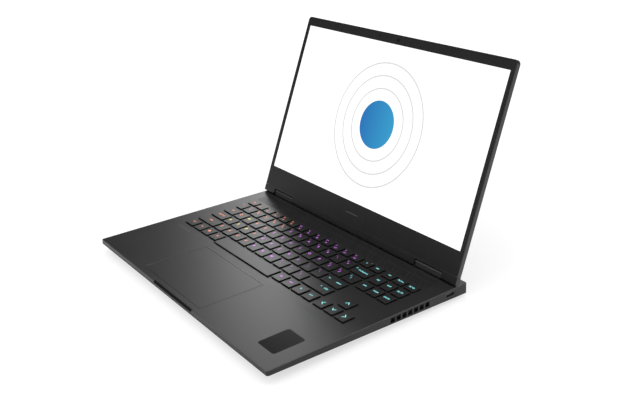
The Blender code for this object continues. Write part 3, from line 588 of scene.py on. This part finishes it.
def textMesh(text, size):
    curve = bpy.data.curves.new("legend", "FONT")
    curve.body = text
    curve.size = size
    curve.align_x = "CENTER"
    curve.align_y = "CENTER"
    curve.resolution_u = 2
    curve.offset = size * keys["bold"]
    holder = bpy.data.objects.new("legend", curve)
    bpy.context.scene.collection.objects.link(holder)
    mesh = bpy.data.meshes.new_from_object(holder.evaluated_get(bpy.context.evaluated_depsgraph_get()))
    bpy.data.objects.remove(holder)
    bpy.data.curves.remove(curve)
    return mesh


upperStyles = {
    "function": "icon", "backWord": "backSign", "enterWord": "enterSign", "shiftWord": "shiftSign",
}
# the way each arrow points, and the angle from there to its two bars
arrowTurns = {"up": 90, "left": 180, "down": -90, "right": 0}
arrowLean = 138
colours = ("red", "yellow", "violet", "cyan")


def addLegend(bm, text, style, colour, middle, height):
    size, right, back = legendStyles[style]
    x, y = middle[0] + right, middle[1] + back
    before = len(bm.faces)
    if style == "arrow":
        # two bars that meet at the arrow's tip
        turn = math.radians(arrowTurns[text])
        tip = (x + size / 4 * math.cos(turn), y + size / 4 * math.sin(turn))
        for lean in (-arrowLean, arrowLean):
            addBar(bm, tip, turn + math.radians(lean), size / 8, size * 0.72, size / 6, height)
    elif style == "mark":
        addCircle(bm, (x, y), size / 2, height, 20)
    else:
        mesh = textMesh(text, size)
        known = set(bm.verts)
        bm.from_mesh(mesh)
        bpy.data.meshes.remove(mesh)
        fresh = [v for v in bm.verts if v not in known]
        bmesh.ops.translate(bm, vec=(x, y, height), verts=fresh)
    bm.faces.ensure_lookup_table()
    for face in bm.faces[before:]:
        face.material_index = colours.index(colour)


def makeKeyboard(materials):
    glow = [materials[f"{colour}Glow"] for colour in colours]
    plastics = [materials["keyPlastic"], materials["blackAndShade"]]
    for group, keyList in keyGroups().items():
        low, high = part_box(group)
        rows = keyList if isinstance(keyList[0], list) else [keyList]
        height = high.z + keys["legendLift"]
        caps, legends = bmesh.new(), bmesh.new()
        for row, rowKeys in enumerate(rows):
            front, rear = rowSpan(low.y, high.y, row, len(rows))
            for key, (left, right) in zip(rowKeys, keyCells(group, rowKeys)):
                mesh = keycapMesh(left, right, front, rear, low.z, high.z)
                caps.from_mesh(mesh)
                bpy.data.meshes.remove(mesh)
                middle = ((left + right) / 2, (front + rear) / 2)
                if key["legend"]:
                    addLegend(legends, key["legend"], key["style"], key["colour"], middle, height)
                if key["upper"]:
                    style = upperStyles.get(key["style"], "shifted")
                    addLegend(legends, key["upper"], style, key["colour"], middle, height)
        newPiece(f"{group}_caps", caps, group, plastics, [group])
        if len(legends.faces):
            newPiece(f"{group}_legends", legends, group, glow)
        else:
            legends.free()


def rowSpan(front, rear, row, count):
    # the rear row of a block is as shallow as the function row, the others share what is left
    if count == 1:
        return front, rear
    shallow, between = keys["shallow"], keys["web"] + 2 * keys["gap"]
    if row == 0:
        return rear - shallow, rear
    full = (rear - shallow - between - front - (count - 2) * between) / (count - 1)
    top = rear - shallow - between - (row - 1) * (full + between)
    return top - full, top


# thin strips and lights on the deck: the status bar, a crease's painted shade, the touchpad rim's painted
# highlight, the hinge seam's painted shade
details = dict(
    barLeft=-162 * mm, barWidth=31 * mm, barPlace=93 * mm, barDepth=2.2 * mm, barLift=0.03 * mm,
    creaseSpans=((-183 * mm, -163 * mm), (-130 * mm, 183 * mm)), creaseDepth=0.22 * mm, lift=0.02 * mm,
    touchpadGap=0.45 * mm, touchpadLine=0.3 * mm, highlightStart=0.45, seamInset=2 * mm, seamGap=0.4 * mm,
    ledRadius=0.5 * mm, ledHeight=0.05 * mm, ledInset=(3.2 * mm, 2.2 * mm),
)
label = dict(
    left=137 * mm, width=28 * mm, front=20 * mm, depth=38 * mm, corner=3 * mm, lift=0.03 * mm,
    fadeStart=10 * mm, fade=16,
)


def addStrip(bm, left, right, front, rear, lift=details["lift"]):
    # a thin strip lying on the deck
    addBox(bm, (left, front, deckTop), (right, rear, deckTop + lift))


def makeDeckMarks(materials):
    left, front = label["left"], frontEdge + label["front"]
    bm = bmesh.new()
    addStrip(bm, left, left + label["width"], front, front + label["depth"], label["lift"])
    bevelEdges(bm, uprightEdges(bm.edges, label["lift"] / 2), label["corner"], 5)
    newPiece("blankLabel", bm, "base", [materials["labelFilm"]])

    front, left = frontEdge + details["barPlace"], details["barLeft"]
    right, rear = left + details["barWidth"], front + details["barDepth"]
    bm = bmesh.new()
    addStrip(bm, left, right, front, rear, details["barLift"])
    newPiece("statusBar", bm, "base", [materials["grilleRib"]])
    # a slightly darker strip along the deck's fine groove: painted shade of the crease
    bm = bmesh.new()
    for left, right in details["creaseSpans"]:
        addStrip(bm, left, right, front, front + details["creaseDepth"])
    newPiece("deckCreaseShade", bm, "base", [materials["grillePlastic"]])

    # light strips along the touchpad's left side and part of its rear: a painted highlight for the light
    # its rim catches
    low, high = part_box("touchpad_plate")
    gap, line = details["touchpadGap"], details["touchpadLine"]
    bm = bmesh.new()
    addStrip(bm, low.x - gap - line, low.x - gap, low.y, high.y)
    start = low.x + details["highlightStart"] * (high.x - low.x)
    addStrip(bm, start, high.x, high.y + gap, high.y + gap + line)
    newPiece("touchpadRimHighlight", bm, "base", [materials["padEdgeHighlight"]])

    # a near-black strip on the deck under the hinge strip's lower edge: painted shade that keeps light
    # from showing through the gap
    low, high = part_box("lid_hinge_strip")
    inset = details["seamInset"]
    bm = bmesh.new()
    addStrip(bm, low.x + inset, high.x - inset, low.y + details["seamGap"], high.y)
    newPiece("hingeSeamShade", bm, "base", [materials["blackAndShade"]])

    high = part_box("power_key")[1]
    across, back = details["ledInset"]
    bm = bmesh.new()
    place = (high.x - across, high.y - back, high.z)
    addDisc(bm, place, details["ledRadius"], details["ledHeight"], 16)
    newPiece("powerLight", bm, "power_key", [materials["whiteGlow"]])


vents = dict(
    thick=0.4 * mm, sideInset=3.2 * mm, front=146 * mm, rear=206 * mm, low=8.6 * mm, high=1.6 * mm,
    rearInset=3 * mm, middle=118 * mm, halfWidth=34 * mm, bottom=6 * mm, top=13.5 * mm,
)


def makeVentScreens(materials):
    # dark screens just inside the side and rear vents: painted shade for the vents' insides
    bm = bmesh.new()
    thick, half = vents["thick"], vents["halfWidth"]
    right, rear = deckHigh.x - vents["sideInset"], deckHigh.y - vents["rearInset"]
    low = (right - thick, frontEdge + vents["front"], deckTop - vents["low"])
    addBox(bm, low, (right, frontEdge + vents["rear"], deckTop - vents["high"]))
    for middle in (-vents["middle"], vents["middle"]):
        low = (middle - half, rear - thick, vents["bottom"])
        addBox(bm, low, (middle + half, rear, vents["top"]))
    newPiece("ventShadeScreens", bm, "base", [materials["innerPlasticAndShade"]])


# the lid; parts on the bezel are sunk a little below its face and stand a little above it
camera = dict(
    ring=2.3 * mm, ringHeight=0.08 * mm, glass=1.3 * mm, glassHeight=0.05 * mm,
    micSpacing=33.5 * mm, micRadius=1 * mm, micHeight=0.07 * mm, sunk=0.05 * mm, lift=0.02 * mm,
    panelRim=2.4 * mm, rise=0.4 * mm,
)
chin = dict(
    markReach=11 * mm, markDepth=1 * mm, markPlace=8 * mm, markSunk=0.03 * mm, lift=0.02 * mm,
    seamSunk=0.6 * mm,
)


def makeLid(materials):
    bezel = [materials["bezelPlastic"]]
    newPiece("lidShell", tidyCopy("lid_cover"), "lid", [materials["lidPaint"]], ["lid_cover"])
    newPiece("bezel", tidyCopy("screen_bezel"), "lid", bezel, ["screen_bezel"])
    newPiece("hingeStrip", tidyCopy("lid_hinge_strip"), "lid", bezel, ["lid_hinge_strip"])
    for side in ("left", "right"):
        node = f"hinge_knuckle_{side}"
        bm = tidyCopy(node)
        for face in bm.faces:
            # the slope along a knuckle's front is painted lighter: a painted highlight
            if face.normal.y < -0.4 and face.normal.z > 0.4:
                face.material_index = 1
        finish = [materials["knucklePlastic"], materials["knuckleHighlight"]]
        newPiece(f"hingeKnuckle_{side}", bm, "base", finish, [node])


def inLid(bm):
    bmesh.ops.transform(bm, matrix=lidFrame, verts=bm.verts)
    return bm


def makeCamera(materials):
    # the camera and microphones sit midway between the screen and the bezel's top edge
    face = bezelHigh.z
    sunk = face - camera["sunk"]
    level = (bezelHigh.y + panelHigh.y - camera["panelRim"]) / 2 + camera["rise"]
    bm = bmesh.new()
    addDisc(bm, (0, level, sunk), camera["ring"], camera["ringHeight"], 40, 0)
    addDisc(bm, (0, level, face + camera["lift"]), camera["glass"], camera["glassHeight"], 32, 1)
    for x in (-camera["micSpacing"], camera["micSpacing"]):
        addDisc(bm, (x, level, sunk), camera["micRadius"], camera["micHeight"], 20, 2)
    dark = [materials["blackAndShade"], materials["lensGlass"], materials["blackAndShade"]]
    newPiece("cameraWindow", inLid(bm), "lid", dark)

    # a grey printed mark on the chin that also gives off a faint light: painted light
    level = panelLow.y - chin["markPlace"]
    reach, half = chin["markReach"], chin["markDepth"] / 2
    low = (-reach, level - half, face - chin["markSunk"])
    bm = bmesh.new()
    addBox(bm, low, (reach, level + half, face + chin["lift"]))
    newPiece("chinMark", inLid(bm), "lid", [materials["greyInk"]])

    # a lighter strip in the seam between the hinge strip and the bezel: a painted highlight on the seam
    low = (bezelLow.x, lidBox("lid_hinge_strip")[1].y, face - chin["seamSunk"])
    bm = bmesh.new()
    addBox(bm, low, (bezelHigh.x, bezelLow.y, face - chin["lift"]))
    newPiece("chinSeamHighlight", inLid(bm), "lid", [materials["grilleRib"]])


# the picture on the screen: a blue disc in the middle of pale ripples
screen = dict(lift=0.03 * mm, layer=0.02 * mm, lowEdge=6 * mm, middle=100 * mm)
wallpaper = dict(disc=30 * mm, ripples=(46 * mm, 62 * mm, 78 * mm), line=2 * mm, fade=10)


def makeWallpaper(materials):
    centre = (0, panelLow.y + screen["lowEdge"] + screen["middle"])
    height = panelHigh.z + screen["lift"]
    bm = bmesh.new()
    for radius in wallpaper["ripples"]:
        addRing(bm, centre, radius, wallpaper["line"], height)
    ripples = newPiece("wallpaperRipples", inLid(bm), "lid", [materials["paleInk"]])
    keepFromMirrors(ripples)
    bm = bmesh.new()
    addCircle(bm, centre, wallpaper["disc"], height + screen["layer"], 128)
    disc = newPiece("wallpaperDisc", inLid(bm), "lid", [materials["discInk"]])
    keepFromMirrors(disc)
    keepFromMirrors(frame["nodes"]["screen_panel"])


# the camera: its place, where it stands as seen from what it looks at, and its roll
studio = dict(
    place=(0.75185, -0.57621, 0.45576), azimuth=-37.257, height=16.949, roll=-1.517,
    lens=49.11, sensor=36, shift=(-0.0339, -0.1403), nearest=0.01,
)
# the back left panel is what the deck mirrors, up to the dark lid
lights = (
    dict(name="backLeft", azimuth=143, height=27, distance=2.6, size=(0.9, 0.8), power=11, glossy=True),
    dict(name="overhead", azimuth=-60, height=80, distance=1.8, size=(1.6, 1.6), power=6, glossy=False),
    dict(name="frontSoft", azimuth=-80, height=35, distance=2.0, size=(1.6, 1.0), power=6, glossy=False),
)


def directionTo(azimuth, height):
    # azimuth from the x axis, height above the horizon, both in degrees
    turn, rise = math.radians(azimuth), math.radians(height)
    return Vector((math.cos(turn) * math.cos(rise), math.sin(turn) * math.cos(rise), math.sin(rise)))


def makeCameraAndLights():
    scene = bpy.context.scene
    back = directionTo(studio["azimuth"], studio["height"])
    facing = back.to_track_quat("Z", "Y").to_matrix().to_4x4()
    view = bpy.data.cameras.new("camera")
    view.lens = studio["lens"]
    view.sensor_width = studio["sensor"]
    view.shift_x, view.shift_y = studio["shift"]
    view.clip_start = studio["nearest"]
    holder = bpy.data.objects.new("camera", view)
    roll = Matrix.Rotation(math.radians(studio["roll"]), 4, "Z")
    holder.matrix_world = Matrix.Translation(studio["place"]) @ facing @ roll
    scene.collection.objects.link(holder)
    scene.camera = holder
    for light in lights:
        lamp = bpy.data.lights.new(light["name"], "AREA")
        lamp.shape = "RECTANGLE"
        lamp.size, lamp.size_y = light["size"]
        lamp.energy = light["power"]
        obj = bpy.data.objects.new(light["name"], lamp)
        towards = directionTo(light["azimuth"], light["height"])
        obj.location = towards * light["distance"]
        obj.rotation_mode = "QUATERNION"
        obj.rotation_quaternion = towards.to_track_quat("Z", "Y")
        obj.visible_glossy = light["glossy"]
        scene.collection.objects.link(obj)
    world = bpy.data.worlds.new("studio")
    world.use_nodes = True
    world.node_tree.nodes["Background"].inputs["Color"].default_value = (1, 1, 1, 1)
    world.node_tree.nodes["Background"].inputs["Strength"].default_value = 1.0
    scene.world = world
    world.cycles_visibility.glossy = False
    scene.view_settings.view_transform = "Standard"


ground = dict(halfSize=4, drop=0.1 * mm, colour=(0.4, 0.4, 0.4), glow=0.62)


def makeFloor():
    bm = bmesh.new()
    place = Matrix.Translation((0, 0, -ground["drop"]))
    bmesh.ops.create_grid(bm, x_segments=1, y_segments=1, size=ground["halfSize"], matrix=place)
    mesh = bpy.data.meshes.new("floor")
    bm.to_mesh(mesh)
    bm.free()
    finish = Finish("floorPaint", {"Roughness": 0.9, "Specular IOR Level": 0.1})
    finish.set("Emission Strength", ground["glow"])
    finish.set("Base Color", ground["colour"])
    finish.set("Emission Color", (1, 1, 1))
    mesh.materials.append(finish.material)
    floor = bpy.data.objects.new("floor", mesh)
    bpy.context.scene.collection.objects.link(floor)


# each lit mark: colour, strength of its light, how much of the colour is paint, gloss
glows = {
    "redGlow": ((1.0, 0.28, 0.14), 0.82, 0.6, 0.5),
    "yellowGlow": ((1.0, 0.85, 0.12), 0.9, 0.6, 0.5),
    "violetGlow": ((0.75, 0.2, 0.95), 0.8, 0.6, 0.5),
    "cyanGlow": ((0.25, 0.8, 0.8), 0.75, 0.6, 0.5),
    "whiteGlow": ((0.9, 0.9, 0.9), 0.12, 0.3, 0.5),
    "screenWhite": ((1.0, 1.0, 1.0), 1.25, 0.02, 0),
    "paleInk": ((0.8, 0.8, 0.8), 1.0, 0.02, 0),
    # the chin mark's print with a faint glow of its own: painted light
    "greyInk": ((0.1, 0.1, 0.1), 0.15, 0.6, 0.5),
}


def discInk():
    # blue that turns lighter to the right, lit like the screen around it
    finish = Finish("discInk", {"Specular IOR Level": 0, "Emission Strength": 1.0})
    finish.set("Base Color", (0.002, 0.002, 0.002))
    across = finish.node("ShaderNodeSeparateXYZ", {}, {0: finish.point()}, "X")
    stops = ((0, (0.02, 0.12, 0.45)), (1, (0.05, 0.4, 0.65)))
    blend = finish.node("ShaderNodeValToRGB", {"stops": stops}, {0: across * wallpaper["fade"] + 0.5})
    finish.set("Emission Color", blend)
    return finish.material


def labelFilm():
    # near black that turns lighter towards the rear
    finish = Finish("labelFilm", {"Roughness": 0.6, "Specular IOR Level": 0.25})
    along = finish.node("ShaderNodeSeparateXYZ", {}, {0: finish.point()}, "Y")
    stops = ((0, (0.005, 0.005, 0.005)), (1, (0.03, 0.03, 0.03)))
    start = frontEdge + label["fadeStart"]
    blend = finish.node("ShaderNodeValToRGB", {"stops": stops}, {0: (along - start) * label["fade"]})
    finish.set("Base Color", blend)
    return finish.material


def lensGlass():
    finish = Finish("lensGlass", {"Roughness": 0.08, "Coat Weight": 1.0})
    finish.set("Base Color", finish.mix(finish.noise(1 * mm), (0.004, 0.004, 0.012), (0.01, 0.008, 0.02)))
    return finish.material


def makeMaterials():
    made = {name: mouldedFinish(name) for name in finishes}
    made["steel"] = brushedSteel()
    made["copper"] = coolingCopper()
    for name, (colour, strength, paint, gloss) in glows.items():
        made[name] = glowFinish(name, colour, strength, paint, gloss)
    made["discInk"] = discInk()
    made["labelFilm"] = labelFilm()
    made["lensGlass"] = lensGlass()
    return made


nodeFinishes = {
    "screenWhite": ("screen_panel",),
    "steel": (
        "hinge_arm_left", "hinge_arm_right", "hinge_bracket_left", "hinge_bracket_right",
        "touchpad_bracket",
    ),
    "portMetal": (
        "usb_socket_left", "usb_socket_right", "network_socket", "display_socket", "usb_c_socket",
    ),
    "copper": ("fin_stack_left", "fin_stack_right", "heat_pipes"),
    "boardLacquer": (
        "mainboard", "port_board", "memory_module", "ssd_module", "wireless_card", "webcam_module",
    ),
    "packWrap": ("battery_pack",),
    "innerPlasticAndShade": (
        "keyboard_plate", "speaker_left", "speaker_right", "fan_housing_left", "fan_housing_right",
        "fan_rotor_left", "fan_rotor_right", "power_socket", "audio_socket",
    ),
}


def paintNodes(materials):
    for name, nodes in nodeFinishes.items():
        for node in nodes:
            slots = frame["nodes"][node].data.materials
            slots.clear()
            slots.append(materials[name])


makeCameraAndLights()
makeFloor()
materials = makeMaterials()
print("materials made:", len(materials))
makeDeck(materials)
makeBottom(materials)
makeScrews(materials)
makeTouchpad(materials)
makeGrille(materials)
print("base made")
makeKeyboard(materials)
print("keyboard made")
makeDeckMarks(materials)
makeVentScreens(materials)
makeLid(materials)
makeCamera(materials)
makeWallpaper(materials)
print("lid made")
paintNodes(materials)
